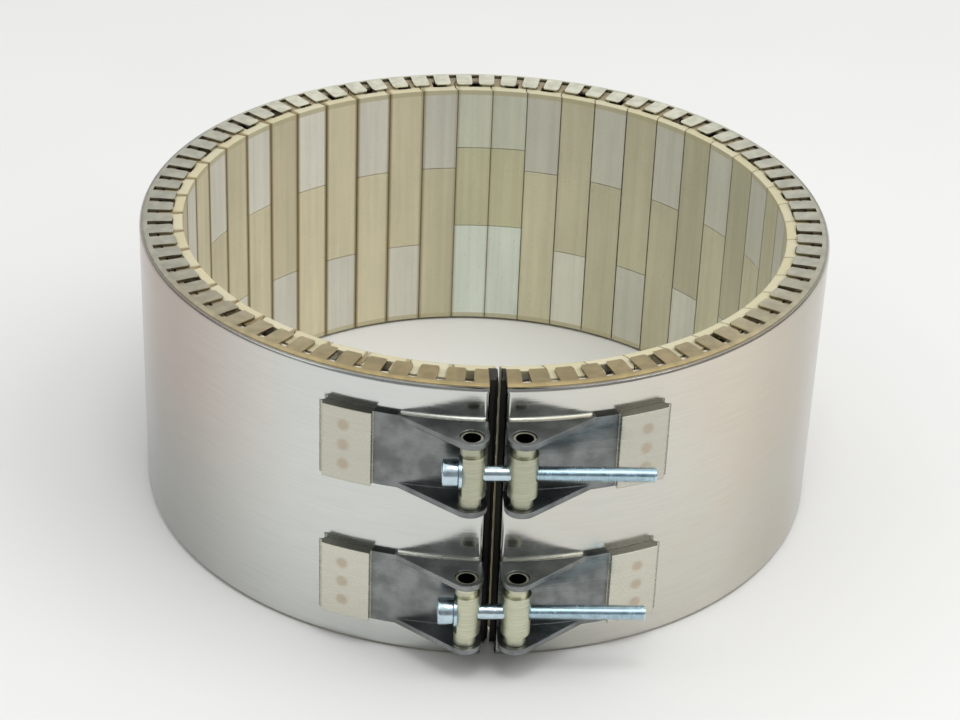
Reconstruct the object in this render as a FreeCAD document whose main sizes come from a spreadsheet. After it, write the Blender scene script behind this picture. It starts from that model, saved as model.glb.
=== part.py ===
"""Ceramic band heater for a plasticising barrel, with two barrel-nut clamps.

Frame: the bore's axis is Z, the origin is on it at half the band's width, and the gap with its
clamps faces -Y. Millimetres and degrees. The driving sizes are cells of the sheet "Sizes", and
every sub-part is bound to them by expressions.
"""

import FreeCAD
import Part
import math
import os
from types import SimpleNamespace

import Sketcher

Vector = FreeCAD.Vector

DRIVING_SIZES = [
    # band
    ("bore_diameter", 205.0, "bore of the tile ring"),
    ("band_width", 100.0, "width of the band along the barrel"),
    ("tile_thickness", 8.4, "radial thickness of a tile"),
    ("blanket_space", 5.3, "room for the fibre blanket behind the tiles"),
    ("shell_sheet", 0.8, "sheet of the shell"),
    ("shell_gap", 4.8, "gap between the shell's ends"),
    ("mat_gap", 1.2, "gap between the first and the last tile column"),
    # folded edges of the shell
    ("fold_radius", 2.4, "outside radius of the folded edge"),
    ("tab_length", 11.0, "shell's outside to the tips of the tabs"),
    ("tab_count", 82.0, "tabs round one edge, an even number"),
    ("slot_width", 2.9, "slot between two tabs, at the fold"),
    ("slot_land", 0.3, "flat between a slot and the fold"),
    ("lip_depth", 5.6, "inward lips at the shell's two ends"),
    ("lip_bend", 1.6, "outside radius where a lip is bent in"),
    # tiles
    ("column_count", 49.0, "tile columns round the bore, an odd number"),
    ("column_clearance", 0.35, "gap between two columns"),
    ("seam_clearance", 0.25, "gap between two tiles in a column"),
    ("rim_clearance", 0.3, "tile ends to the folded edge"),
    ("short_tile_share", 0.3333, "short tile's share of a column"),
    ("back_top_share", 0.245, "upper back tile's share of a column"),
    ("back_low_share", 0.415, "lower back tile's share of a column"),
    ("knuckle_rise", 0.95, "how far a tile's tongue reaches into the next"),
    ("channel_width", 5.0, "coil channel in a tile's back"),
    ("channel_depth", 5.0, "coil channel in a tile's back"),
    # heating coil and blanket
    ("coil_side", 4.4, "closed outer shape of the wound coil"),
    ("coil_stand", 0.6, "coil's runs proud of the tiles' backs"),
    ("coil_link_reach", 3.2, "radial depth of the links between columns"),
    ("blanket_recess", 8.0, "shell's edge to the blanket's end"),
    ("blanket_clearance", 0.15, "blanket to what is round it"),
    ("terminal_bay", 18.0, "space without blanket at the terminals"),
    ("strap_sheet", 0.5, "nickel strap from the coil to a terminal"),
    ("strap_width", 4.0, "nickel strap from the coil to a terminal"),
    ("strap_eye_width", 9.0, "widened end of the strap at its stud"),
    # clamp brackets
    ("clamp_height", 25.6, "clamps above and below half the width"),
    ("bracket_sheet", 1.8, "sheet of a bracket"),
    ("bracket_width", 26.0, "bracket along the band's width"),
    ("bracket_length", 52.5, "bracket along the shell"),
    ("bracket_setback", 0.2, "shell's end to the bracket's end"),
    ("weld_gap", 0.04, "seat of a welded bracket"),
    ("hem_length", 17.5, "doubled tail of a bracket"),
    ("ear_run", 27.0, "length of an ear along the shell"),
    ("ear_nose", 5.3, "nose radius of an ear round its trunnion"),
    ("bend_radius", 1.5, "outside radius where an ear is bent up"),
    # barrels, screws and washers
    ("screw_height", 9.5, "screw's axis outside the shell"),
    ("trunnion_diameter", 7.0, "barrel's trunnions"),
    ("trunnion_clearance", 0.2, "radial clearance in an ear"),
    ("trunnion_recess", 0.5, "trunnion's end below an ear's outer face"),
    ("barrel_diameter", 9.2, "barrel between its trunnions"),
    ("barrel_length", 14.6, "barrel between its trunnions"),
    ("barrel_flat", 1.9, "flat that the washer bears on"),
    ("end_bore_diameter", 5.4, "blind bore in a trunnion's end"),
    ("end_bore_depth", 4.0, "blind bore in a trunnion's end"),
    ("screw_diameter", 5.0, "clamp screw"),
    ("screw_length", 60.0, "clamp screw under its head"),
    ("screw_chamfer", 0.7, "screw's end"),
    ("thread_clearance", 0.05, "radial, screw in its tapped barrel"),
    ("shank_clearance", 0.3, "radial, screw in its plain barrel"),
    ("head_diameter", 8.5, "socket head"),
    ("head_height", 5.0, "socket head"),
    ("socket_flats", 4.0, "hexagon across flats"),
    ("socket_depth", 2.6, "hexagon socket"),
    ("washer_diameter", 10.0, "plain washer"),
    ("washer_sheet", 1.0, "plain washer"),
    ("washer_clearance", 0.15, "radial, screw in a washer"),
    # terminals
    ("terminal_pitch", 30.0, "stud to stud along the band's width"),
    ("stud_root_diameter", 4.0, "stud inside its insulators"),
    ("stud_diameter", 5.0, "stud's free thread"),
    ("stud_free_length", 11.0, "stud's free thread"),
    ("stud_clearance", 0.2, "radial, stud in its insulators"),
    ("stud_end_stand", 0.35, "stud proud of its inner nut"),
    ("collar_flats", 8.0, "stud's hexagon collar across flats"),
    ("collar_height", 3.5, "stud's hexagon collar"),
    ("inner_nut_flats", 7.0, "nut inside the shell across flats"),
    ("inner_nut_height", 2.2, "nut inside the shell"),
    ("bush_spigot_diameter", 9.0, "outer insulator's spigot in the shell"),
    ("bush_spigot_clearance", 0.2, "radial, spigot in the shell's hole"),
    ("bush_base_diameter", 15.0, "outer insulator's flange"),
    ("bush_base_height", 2.5, "outer insulator's flange"),
    ("bush_top_diameter", 11.0, "outer insulator's neck"),
    ("bush_top_height", 3.5, "outer insulator's neck"),
    ("mica_side", 11.0, "square insulator inside the shell"),
    ("mica_sheet", 0.5, "insulator inside the shell"),
    ("mica_clearance", 0.35, "room for the flat insulator inside the round shell"),
    ("face_gap", 0.05, "between faces that are clamped together"),
]


class Size:
    """A dimension as a number and as the expression that ties it to the sheet."""

    def __init__(self, text, value):
        self.text = text
        self.value = float(value)

    def __add__(self, other):
        other = as_size(other)
        return Size(f"({self.text} + {other.text})", self.value + other.value)

    def __sub__(self, other):
        other = as_size(other)
        return Size(f"({self.text} - {other.text})", self.value - other.value)

    def __mul__(self, other):
        other = as_size(other)
        return Size(f"({self.text} * {other.text})", self.value * other.value)

    def __truediv__(self, other):
        other = as_size(other)
        return Size(f"({self.text} / {other.text})", self.value / other.value)

    def __neg__(self):
        return Size(f"(0 - {self.text})", -self.value)


def as_size(thing):
    return thing if isinstance(thing, Size) else Size(f"({thing})", thing)


def root(size):
    return Size(f"sqrt({size.text})", math.sqrt(size.value))


def sine(degrees):
    return Size(f"sin({degrees.text} * 1 deg)", math.sin(math.radians(degrees.value)))


def cosine(degrees):
    return Size(f"cos({degrees.text} * 1 deg)", math.cos(math.radians(degrees.value)))


def arc_cosine(ratio):
    return Size(f"(acos({ratio.text}) / 1 deg)", math.degrees(math.acos(ratio.value)))


def direction(x, y):
    angle = math.degrees(math.atan2(y.value, x.value))
    return Size(f"(atan2({y.text}; {x.text}) / 1 deg)", angle)


def polar(radius, degrees):
    """The point at a radius and an angle about the origin."""
    return radius * cosine(degrees), radius * sine(degrees)


def swept(length, radius):
    """The angle that a length takes up round a radius."""
    return length / radius * (180 / math.pi)


def below(x, radius):
    """The y of the circle's front point at this x."""
    return -root(radius * radius - x * x)


def tangent_point(centre, radius, outside, side):
    """Where the straight line from an outside point touches a circle."""
    x, y = outside[0] - centre[0], outside[1] - centre[1]
    opening = arc_cosine(radius / root(x * x + y * y))
    touch = polar(radius, direction(x, y) + opening * side)
    return centre[0] + touch[0], centre[1] + touch[1]


doc = FreeCAD.newDocument("BandHeater")
sheet = doc.addObject("Spreadsheet::Sheet", "Sizes")
for row, (alias, number, note) in enumerate(DRIVING_SIZES, start=1):
    sheet.set(f"A{row}", note)
    sheet.set(f"B{row}", str(number))
    sheet.setAlias(f"B{row}", alias)
doc.recompute()
d = SimpleNamespace(**{alias: Size(f"Sizes.{alias}", sheet.get(alias)) for alias, _, _ in DRIVING_SIZES})

# Radii and heights that follow from the driving sizes.
bore_radius = d.bore_diameter / 2
tile_back = bore_radius + d.tile_thickness
shell_inside = tile_back + d.blanket_space
shell_outside = shell_inside + d.shell_sheet
half_width = d.band_width / 2
tile_end = half_width - d.shell_sheet - d.rim_clearance
half_gap = d.shell_gap / 2
column_pitch = (as_size(360) - swept(d.mat_gap, bore_radius)) / d.column_count
seat = shell_outside + d.weld_gap
trunnion_x = half_gap + d.bracket_setback + d.ear_nose
screw_y = -(shell_outside + d.screw_height)
coil_back = tile_back + d.coil_stand
link_inside = tile_back + d.blanket_clearance
link_outside = link_inside + d.coil_link_reach
link_middle = half_width - d.blanket_recess + d.blanket_clearance * 2 + d.coil_side / 2
strap_outside = shell_inside - d.mica_sheet - d.mica_clearance
strap_inside = strap_outside - d.strap_sheet


def column_angle(index):
    """Where a tile column's centre line stands, counted anticlockwise from the gap."""
    return column_pitch * (index + 0.5) + swept(d.mat_gap, bore_radius) / 2 - 90


def bind(thing, path, size):
    thing.setExpression(path, size.text)


def new_body(label, several=False):
    body = doc.addObject("PartDesign::Body", label)
    body.Label = label
    body.AllowCompound = several
    return body


def origin_of(body, role):
    return next(item for item in body.Origin.OriginFeatures if item.Role == role)


def place(body, x=0, y=0, z=0, axis=Vector(0, 0, 1), turn=0):
    """Puts a body where these sizes say, turned about one axis."""
    turn = as_size(turn)
    body.Placement = FreeCAD.Placement(Vector(), FreeCAD.Rotation(axis, turn.value))
    for path, size in (("x", x), ("y", y), ("z", z)):
        bind(body, f"Placement.Base.{path}", as_size(size))
    bind(body, "Placement.Rotation.Angle", turn)


def new_sketch(body, plane, lift=None, turn=None):
    """An empty sketch on one of the body's own planes, or lifted off it and turned on it."""
    sketch = body.newObject("Sketcher::SketchObject", "Sketch")
    sketch.AttachmentSupport = (origin_of(body, plane), [""])
    sketch.MapMode = "FlatFace"
    if lift is not None:
        bind(sketch, "AttachmentOffset.Base.z", lift)
    if turn is not None:
        bind(sketch, "AttachmentOffset.Rotation.Angle", turn)
    return sketch


def pin_coordinate(sketch, kind, axis, edge, end, size):
    """Dimensions one coordinate of an edge's end, or puts it on the axis where it is zero."""
    if size.text == "(0)":
        sketch.addConstraint(Sketcher.Constraint("PointOnObject", edge, end, axis))
        return
    index = sketch.addConstraint(Sketcher.Constraint(kind, edge, end, size.value))
    bind(sketch, f"Constraints[{index}]", size)


def pin_point(sketch, edge, end, x, y):
    pin_coordinate(sketch, "DistanceX", -2, edge, end, as_size(x))
    pin_coordinate(sketch, "DistanceY", -1, edge, end, as_size(y))


def pin_radius(sketch, edge, radius):
    index = sketch.addConstraint(Sketcher.Constraint("Radius", edge, radius.value))
    bind(sketch, f"Constraints[{index}]", radius)


def arc_between(start, end, radius, turn):
    """The shorter arc from start to end, and which of its ends each of them is."""
    middle = (start + end) * 0.5
    half_chord = (end - start) * 0.5
    rise = math.sqrt(max(radius * radius - half_chord.Length**2, 0.0))
    left = Vector(-half_chord.y, half_chord.x, 0).normalize()
    centre = middle + left * rise * turn
    first, last = (start, end) if turn > 0 else (end, start)
    angles = [math.atan2(point.y - centre.y, point.x - centre.x) for point in (first, last)]
    arc = Part.ArcOfCircle(Part.Circle(centre, Vector(0, 0, 1), radius), *angles)
    return arc, (1, 2) if turn > 0 else (2, 1)


def outline(sketch, *corners):
    """Draws a closed outline through the corners and dimensions it fully.

    A corner is (x, y), reached by a straight edge, or (x, y, radius, turn), reached by an arc
    that runs anticlockwise when turn is 1 and clockwise when it is -1.
    """
    points = [Vector(as_size(corner[0]).value, as_size(corner[1]).value, 0) for corner in corners]
    edges = []
    for index, corner in enumerate(corners):
        start, end = points[index - 1], points[index]
        if len(corner) == 2:
            edges.append((sketch.addGeometry(Part.LineSegment(start, end)), 1, 2))
            continue
        arc, ends = arc_between(start, end, corner[2].value, corner[3])
        edge = sketch.addGeometry(arc)
        edges.append((edge, *ends))
    for index, (corner, (edge, _, end)) in enumerate(zip(corners, edges)):
        following, start, _ = edges[(index + 1) % len(edges)]
        sketch.addConstraint(Sketcher.Constraint("Coincident", edge, end, following, start))
        pin_point(sketch, edge, end, corner[0], corner[1])
        if len(corner) == 4:
            pin_radius(sketch, edge, corner[2])


def circle(sketch, x, y, radius):
    centre = Vector(as_size(x).value, as_size(y).value, 0)
    edge = sketch.addGeometry(Part.Circle(centre, Vector(0, 0, 1), radius.value))
    pin_point(sketch, edge, 3, x, y)
    pin_radius(sketch, edge, radius)


def hexagon(sketch, y, flats):
    """A hexagon about (0, y), with two of its flats upright."""
    corner = flats / math.sqrt(3)
    half = flats / 2
    outline(
        sketch,
        (half, y + corner / 2),
        (0, y + corner),
        (-half, y + corner / 2),
        (-half, y - corner / 2),
        (0, y - corner),
        (half, y - corner / 2),
    )


def ring_piece(sketch, inner, outer, start, end):
    """Outline of a ring's piece between two angles, less than half a turn apart."""
    outline(
        sketch,
        (*polar(inner, start), inner, -1),
        polar(outer, start),
        (*polar(outer, end), outer, 1),
        polar(inner, end),
    )


def pad(body, sketch, length, both_ways=True, reverse=False):
    feature = body.newObject("PartDesign::Pad", "Pad")
    feature.Profile = sketch
    feature.SideType = "Symmetric" if both_ways else "One side"
    feature.Reversed = reverse
    bind(feature, "Length", length)
    return feature


def pocket(body, sketch, depth=None, reverse=False):
    """Cuts the sketch out to a depth on one side, or right through both ways."""
    feature = body.newObject("PartDesign::Pocket", "Pocket")
    feature.Profile = sketch
    if depth is None:
        feature.SideType = "Symmetric"
        feature.Type = "ThroughAll"
        return feature
    feature.Reversed = reverse
    bind(feature, "Length", depth)
    return feature


def pocket_between(body, sketch, width):
    """Cuts the sketch out over a width centred on its plane."""
    feature = body.newObject("PartDesign::Pocket", "Pocket")
    feature.Profile = sketch
    feature.SideType = "Symmetric"
    bind(feature, "Length", width)
    return feature


def revolve(body, sketch, axis):
    feature = body.newObject("PartDesign::Revolution", "Revolution")
    feature.Profile = sketch
    feature.ReferenceAxis = (sketch, [axis])
    feature.Angle = 360
    return feature


def round_pattern(body, originals, count, step=None):
    """Repeats features about the body's Z axis, over a full turn or by an angular step."""
    pattern = body.newObject("PartDesign::PolarPattern", "PolarPattern")
    pattern.Originals = originals
    pattern.Axis = (origin_of(body, "Z_Axis"), [""])
    if step is None:
        pattern.Angle = 360
    else:
        pattern.Mode = "Spacing"
        bind(pattern, "Offset", step)
    bind(pattern, "Occurrences", as_size(count))
    body.Tip = pattern
    return pattern


def copy_up(body, step):
    """A second copy of the whole body one step further up."""
    doc.recompute()
    pattern = body.newObject("PartDesign::LinearPattern", "LinearPattern")
    pattern.TransformMode = "Whole shape"
    pattern.Direction = (origin_of(body, "Z_Axis"), [""])
    pattern.Occurrences = 2
    bind(pattern, "Length", step)
    body.Tip = pattern


def copy_across(body):
    """The body's mirror image on the other side of the gap."""
    doc.recompute()
    mirrored = body.newObject("PartDesign::Mirrored", "Mirrored")
    mirrored.TransformMode = "Whole shape"
    mirrored.MirrorPlane = (origin_of(body, "YZ_Plane"), [""])
    body.Tip = mirrored


def shell():
    """One sheet: the wall, both edges folded in and cut into tabs, and a lip at each side of the gap."""
    body = new_body("shell")
    tip = shell_outside - d.tab_length
    fold = shell_outside - d.fold_radius
    bend = half_width - d.fold_radius
    under = half_width - d.shell_sheet
    knee = d.fold_radius * math.sqrt(0.5)
    beyond = tip - d.shell_sheet
    section = new_sketch(body, "YZ_Plane")
    outline(
        section,
        (beyond, -half_width),
        (fold, -half_width),
        (fold + knee, -bend - knee),
        (shell_outside, -bend),
        (shell_outside, bend),
        (fold + knee, bend + knee),
        (fold, half_width),
        (beyond, half_width),
        (beyond, under),
        (fold, under),
        (shell_inside, bend),
        (shell_inside, -bend),
        (fold, -under),
        (beyond, -under),
    )
    revolve(body, section, "V_Axis")

    slot = new_sketch(body, "XY_Plane")
    slot_end = fold - d.slot_land
    half_step = as_size(180) / d.tab_count
    half_tab = (slot_end * (2 * math.pi) / d.tab_count - d.slot_width) / 2
    outline(
        slot,
        (d.slot_width / 2, slot_end),
        (-d.slot_width / 2, slot_end),
        tab_tip(tip, half_step, half_tab, -1),
        tab_tip(tip, half_step, -d.slot_land, -1),
        (-tip * sine(half_step), beyond * 0.98),
        (tip * sine(half_step), beyond * 0.98),
        tab_tip(tip, half_step, -d.slot_land, 1),
        tab_tip(tip, half_step, half_tab, 1),
    )
    round_pattern(body, [pocket(body, slot)], d.tab_count)

    lip_outside = shell_outside - d.shell_sheet / 2
    lip_inside = shell_outside - d.lip_depth
    for side in (1, -1):
        lip = new_sketch(body, "YZ_Plane", (half_gap + d.shell_sheet / 2) * side)
        outline(
            lip,
            (-lip_inside, d.shell_sheet / 2 - half_width),
            (-lip_inside, half_width - d.shell_sheet / 2),
            (-fold, half_width - d.shell_sheet / 2),
            (-lip_outside, bend),
            (-lip_outside, -bend),
            (-fold, d.shell_sheet / 2 - half_width),
        )
        pad(body, lip, d.shell_sheet)

    gap = new_sketch(body, "XY_Plane")
    outside, rounded = -shell_outside * 1.1, half_gap + d.lip_bend
    outline(
        gap,
        (-rounded, outside),
        (rounded, outside),
        (rounded, -shell_outside),
        (half_gap, d.lip_bend - shell_outside, d.lip_bend, 1),
        (half_gap, 0),
        (-half_gap, 0),
        (-half_gap, d.lip_bend - shell_outside),
        (-rounded, -shell_outside, d.lip_bend, 1),
    )
    pocket(body, gap)

    holes = new_sketch(body, "XZ_Plane")
    for side in (1, -1):
        circle(holes, 0, d.terminal_pitch / 2 * side, d.bush_spigot_diameter / 2 + d.bush_spigot_clearance)
    pocket(body, holes, shell_outside * 1.1)


def tab_tip(tip, half_step, from_middle, side):
    """A point on the straight tip of the tab beside a slot, at a distance from the tab's middle."""
    x = tip * sine(half_step) - from_middle * cosine(half_step)
    y = tip * cosine(half_step) + from_middle * sine(half_step)
    return x * side, y


def tiles(label, first_column, count, step, low_share, high_share):
    """Like tiles in every other column, between two shares of the tile stack's height."""
    body = new_body(label, several=True)
    half_angle = (column_pitch - swept(d.column_clearance, bore_radius)) / 2
    half_channel = d.channel_width / 2
    flat_back = tile_back * cosine(half_angle)
    channel_floor = flat_back - d.channel_depth
    shoulders = [bore_radius + d.tile_thickness * share for share in (0.25, 0.75)]
    bulge = swept(d.knuckle_rise, bore_radius)
    low_flank, high_flank = (
        [polar(radius, bulge + edge) for radius in shoulders] for edge in (-half_angle, half_angle)
    )
    profile = new_sketch(body, "XY_Plane")
    outline(
        profile,
        (*polar(bore_radius, -half_angle), bore_radius, -1),
        *low_flank,
        polar(tile_back, -half_angle),
        (flat_back, -half_channel),
        (channel_floor, -half_channel),
        (channel_floor, half_channel),
        (flat_back, half_channel),
        polar(tile_back, half_angle),
        *reversed(high_flank),
        polar(bore_radius, half_angle),
    )
    stack = tile_end * 2
    low_seam = as_size(0) if isinstance(low_share, int) else d.seam_clearance / 2
    high_seam = as_size(0) if isinstance(high_share, int) else d.seam_clearance / 2
    low = stack * low_share - tile_end + low_seam
    high = stack * high_share - tile_end - high_seam
    blank = pad(body, profile, high - low)
    round_pattern(body, [blank], count, column_pitch * step)
    place(body, z=(low + high) / 2, turn=column_angle(first_column))


def tile_mat():
    """Columns with the short tile on top alternate with columns that have it at the bottom.

    The odd number of columns leaves a pair at the back whose tiles have three odd lengths.
    """
    short = d.short_tile_share
    rest = as_size(1) - short
    back_column = int(d.column_count.value) // 2 - 1
    right = (back_column + 1) // 2
    left_first = back_column + 2
    left = int(d.column_count.value) - left_first
    tiles("short_tiles_high_right", 0, right, 2, rest, 1)
    tiles("long_tiles_low_right", 0, right, 2, 0, rest)
    tiles("long_tiles_high_right", 1, back_column - right, 2, short, 1)
    tiles("short_tiles_low_right", 1, back_column - right, 2, 0, short)
    tiles("short_tiles_high_left", left_first, left - left // 2, 2, rest, 1)
    tiles("long_tiles_low_left", left_first, left - left // 2, 2, 0, rest)
    tiles("long_tiles_high_left", left_first + 1, left // 2, 2, short, 1)
    tiles("short_tiles_low_left", left_first + 1, left // 2, 2, 0, short)
    back_high = as_size(1) - d.back_top_share
    tiles("back_tiles_high", back_column, 2, 1, back_high, 1)
    tiles("back_tiles_middle", back_column, 2, 1, d.back_low_share, back_high)
    tiles("back_tiles_low", back_column, 2, 1, 0, d.back_low_share)


def blanket(label, turn):
    """Fibre blanket from a lip at the gap to the terminals, on one side of the band."""
    body = new_body(label)
    inner = coil_back + d.blanket_clearance
    outer = shell_inside - d.blanket_clearance
    front = half_gap + d.shell_sheet + d.blanket_clearance
    back = d.terminal_bay / 2
    profile = new_sketch(body, "XY_Plane")
    outline(
        profile,
        (front, below(front, inner), inner, -1),
        (front, below(front, outer)),
        (back, -below(back, outer), outer, 1),
        (back, -below(back, inner)),
    )
    pad(body, profile, (half_width - d.blanket_recess) * 2)
    place(body, axis=Vector(0, 1, 0), turn=turn)


def coil():
    """The wound coil's closed outer shape: a run in each tile column, linked at alternate ends."""
    body = new_body("coil", several=True)
    half_side = d.coil_side / 2
    run = new_sketch(body, "XY_Plane")
    outline(
        run,
        (coil_back - d.coil_side, -half_side),
        (coil_back, -half_side),
        (coil_back, half_side),
        (coil_back - d.coil_side, half_side),
    )
    runs = pad(body, run, link_middle * 2 + d.coil_side)
    round_pattern(body, [runs], d.column_count, column_pitch)
    half_link = coil_back * sine(column_pitch / 2) + half_side - d.face_gap * 4
    for level, first in ((1, 0.5), (-1, 1.5)):
        link = new_sketch(body, "XY_Plane", link_middle * level, column_pitch * first)
        outline(
            link,
            (link_inside, -half_link),
            (link_outside, -half_link),
            (link_outside, half_link),
            (link_inside, half_link),
        )
        block = pad(body, link, d.coil_side)
        round_pattern(body, [block], (d.column_count - 1) / 2, column_pitch * 2)
    place(body, turn=column_angle(0))


def lead_strap(label, turn):
    """Nickel strap from the coil's end, along the edge and up to the eye on its stud."""
    body = new_body(label)
    half_side = swept(d.coil_side / 2, coil_back)
    start = column_angle(0)
    half_eye = swept(d.strap_eye_width / 2, strap_inside)
    root_block = new_sketch(body, "XY_Plane", -link_middle)
    ring_piece(root_block, coil_back + d.face_gap, strap_outside, start - half_side, start + half_side)
    pad(body, root_block, d.strap_width)
    run = new_sketch(body, "XY_Plane", -link_middle)
    ring_piece(run, strap_inside, strap_outside, start, half_eye + 90)
    pad(body, run, d.strap_width)
    eye_low = -link_middle - d.strap_width / 2
    eye_high = d.strap_eye_width / 2 - d.terminal_pitch / 2
    eye = new_sketch(body, "XY_Plane", (eye_low + eye_high) / 2)
    ring_piece(eye, strap_inside, strap_outside, as_size(90) - half_eye, half_eye + 90)
    pad(body, eye, eye_high - eye_low)
    hole = new_sketch(body, "XZ_Plane")
    circle(hole, 0, -d.terminal_pitch / 2, d.stud_root_diameter / 2 + d.stud_clearance)
    pocket(body, hole, shell_outside)
    place(body, axis=Vector(0, 1, 0), turn=turn)


def edges_at(shape, radius, height):
    """Names of the arcs about the Z axis with this radius and height above or below the middle."""
    names = []
    for index, edge in enumerate(shape.Edges, start=1):
        curve = edge.Curve
        if not isinstance(curve, Part.Circle) or abs(curve.Radius - radius) > 1e-4:
            continue
        if math.hypot(curve.Center.x, curve.Center.y) < 1e-4 and abs(abs(curve.Center.z) - height) < 1e-4:
            names.append(f"Edge{index}")
    return names


def brackets():
    """Four stamped sheets: a channel with two ears for a barrel, and a tail folded back on itself."""
    body = new_body("clamp_brackets", several=True)
    top = seat + d.bracket_sheet
    edge_x = half_gap + d.bracket_setback
    edge_angle = direction(edge_x, below(edge_x, seat))
    nose = (trunnion_x, screw_y)
    foot_angle = edge_angle + swept(d.ear_run, seat)
    foot = polar(top, foot_angle)
    touch = tangent_point(nose, d.ear_nose, foot, -1)
    ears = new_sketch(body, "XY_Plane")
    outline(
        ears,
        (edge_x, below(edge_x, seat), seat, -1),
        (edge_x, screw_y),
        (trunnion_x, screw_y - d.ear_nose, d.ear_nose, 1),
        (*touch, d.ear_nose, 1),
        foot,
        polar(seat, foot_angle),
    )
    blank = pad(body, ears, d.bracket_width)
    doc.recompute()

    bends = body.newObject("PartDesign::Fillet", "Fillet")
    bends.Base = (blank, edges_at(blank.Shape, seat.value, d.bracket_width.value / 2))
    bind(bends, "Radius", d.bend_radius)

    channel = new_sketch(body, "XY_Plane")
    beyond = top + d.screw_height * 2
    ring_piece(channel, top, beyond, as_size(-90), foot_angle + swept(d.ear_nose, seat))
    pocket_between(body, channel, d.bracket_width - d.bracket_sheet * 2)

    tail = new_sketch(body, "XY_Plane")
    end = edge_angle + swept(d.bracket_length - d.bracket_sheet, seat)
    hem = end - swept(d.hem_length - d.bracket_sheet, seat)
    hem_top = top + d.bracket_sheet
    outline(
        tail,
        (*polar(seat, foot_angle), seat, -1),
        polar(top, foot_angle),
        (*polar(top, hem), top, 1),
        polar(hem_top, hem),
        (*polar(hem_top, end), hem_top, 1),
        (*polar(top, end + swept(d.bracket_sheet, top)), d.bracket_sheet, -1),
        (*polar(seat, end), d.bracket_sheet, -1),
    )
    pad(body, tail, d.bracket_width)

    hole = new_sketch(body, "XY_Plane")
    circle(hole, *nose, d.trunnion_diameter / 2 + d.trunnion_clearance)
    pocket(body, hole)
    copy_across(body)
    copy_up(body, d.clamp_height * 2)
    place(body, z=-d.clamp_height)


def barrels(label, side, bore_clearance, flat):
    """Two turned barrels, cross-bored for their screws, with blind bores in their trunnions' ends."""
    body = new_body(label, several=True)
    half_body, half_length = d.barrel_length / 2, d.bracket_width / 2 - d.trunnion_recess
    radius, trunnion = d.barrel_diameter / 2, d.trunnion_diameter / 2
    end_bore, floor = d.end_bore_diameter / 2, half_length - d.end_bore_depth
    profile = new_sketch(body, "XZ_Plane")
    outline(
        profile,
        (0, -floor),
        (end_bore, -floor),
        (end_bore, -half_length),
        (trunnion, -half_length),
        (trunnion, -half_body),
        (radius, -half_body),
        (radius, half_body),
        (trunnion, half_body),
        (trunnion, half_length),
        (end_bore, half_length),
        (end_bore, floor),
        (0, floor),
    )
    revolve(body, profile, "V_Axis")
    cross_bore = new_sketch(body, "YZ_Plane")
    circle(cross_bore, 0, 0, d.screw_diameter / 2 + bore_clearance)
    pocket(body, cross_bore)
    if flat:
        face = new_sketch(body, "XY_Plane")
        near, far = (radius - d.barrel_flat) * side, radius * 2 * side
        outline(face, (near, -radius), (near, radius), (far, radius), (far, -radius))
        pocket_between(body, face, d.barrel_length)
    copy_up(body, d.clamp_height * 2)
    place(body, x=trunnion_x * side, y=screw_y, z=-d.clamp_height)


def washer_x():
    """The washer's face on the flat of the plain barrel, left of the gap."""
    return d.barrel_flat - trunnion_x - d.barrel_diameter / 2 - d.face_gap


def washer(label, level):
    body = new_body(label)
    face = new_sketch(body, "YZ_Plane")
    circle(face, 0, 0, d.washer_diameter / 2)
    circle(face, 0, 0, d.screw_diameter / 2 + d.washer_clearance)
    pad(body, face, d.washer_sheet, both_ways=False, reverse=True)
    place(body, x=washer_x(), y=screw_y, z=d.clamp_height * level)


def screw(label, level):
    """Socket-head screw along X, its head against the washer."""
    body = new_body(label)
    shank, head, edge = d.screw_diameter / 2, d.head_diameter / 2, d.screw_chamfer
    profile = new_sketch(body, "XY_Plane")
    outline(
        profile,
        (-d.head_height, 0),
        (d.screw_length, 0),
        (d.screw_length, shank - edge),
        (d.screw_length - edge, shank),
        (0, shank),
        (0, head),
        (-d.head_height, head),
    )
    revolve(body, profile, "H_Axis")
    socket = new_sketch(body, "YZ_Plane", -d.head_height)
    hexagon(socket, as_size(0), d.socket_flats)
    pocket(body, socket, d.socket_depth, reverse=True)
    head_seat = washer_x() - d.washer_sheet - d.face_gap
    place(body, x=head_seat, y=screw_y, z=d.clamp_height * level)


def pair_of(body):
    """Two of the piece, one on each stud's axis."""
    copy_up(body, d.terminal_pitch)
    place(body, z=-d.terminal_pitch / 2)


def turned_pair(label, *profile):
    """Two equal turned pieces on the studs' axes. The profile runs in radius and y."""
    body = new_body(label, several=True)
    sketch = new_sketch(body, "XY_Plane")
    outline(sketch, *profile)
    revolve(body, sketch, "V_Axis")
    return body


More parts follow.
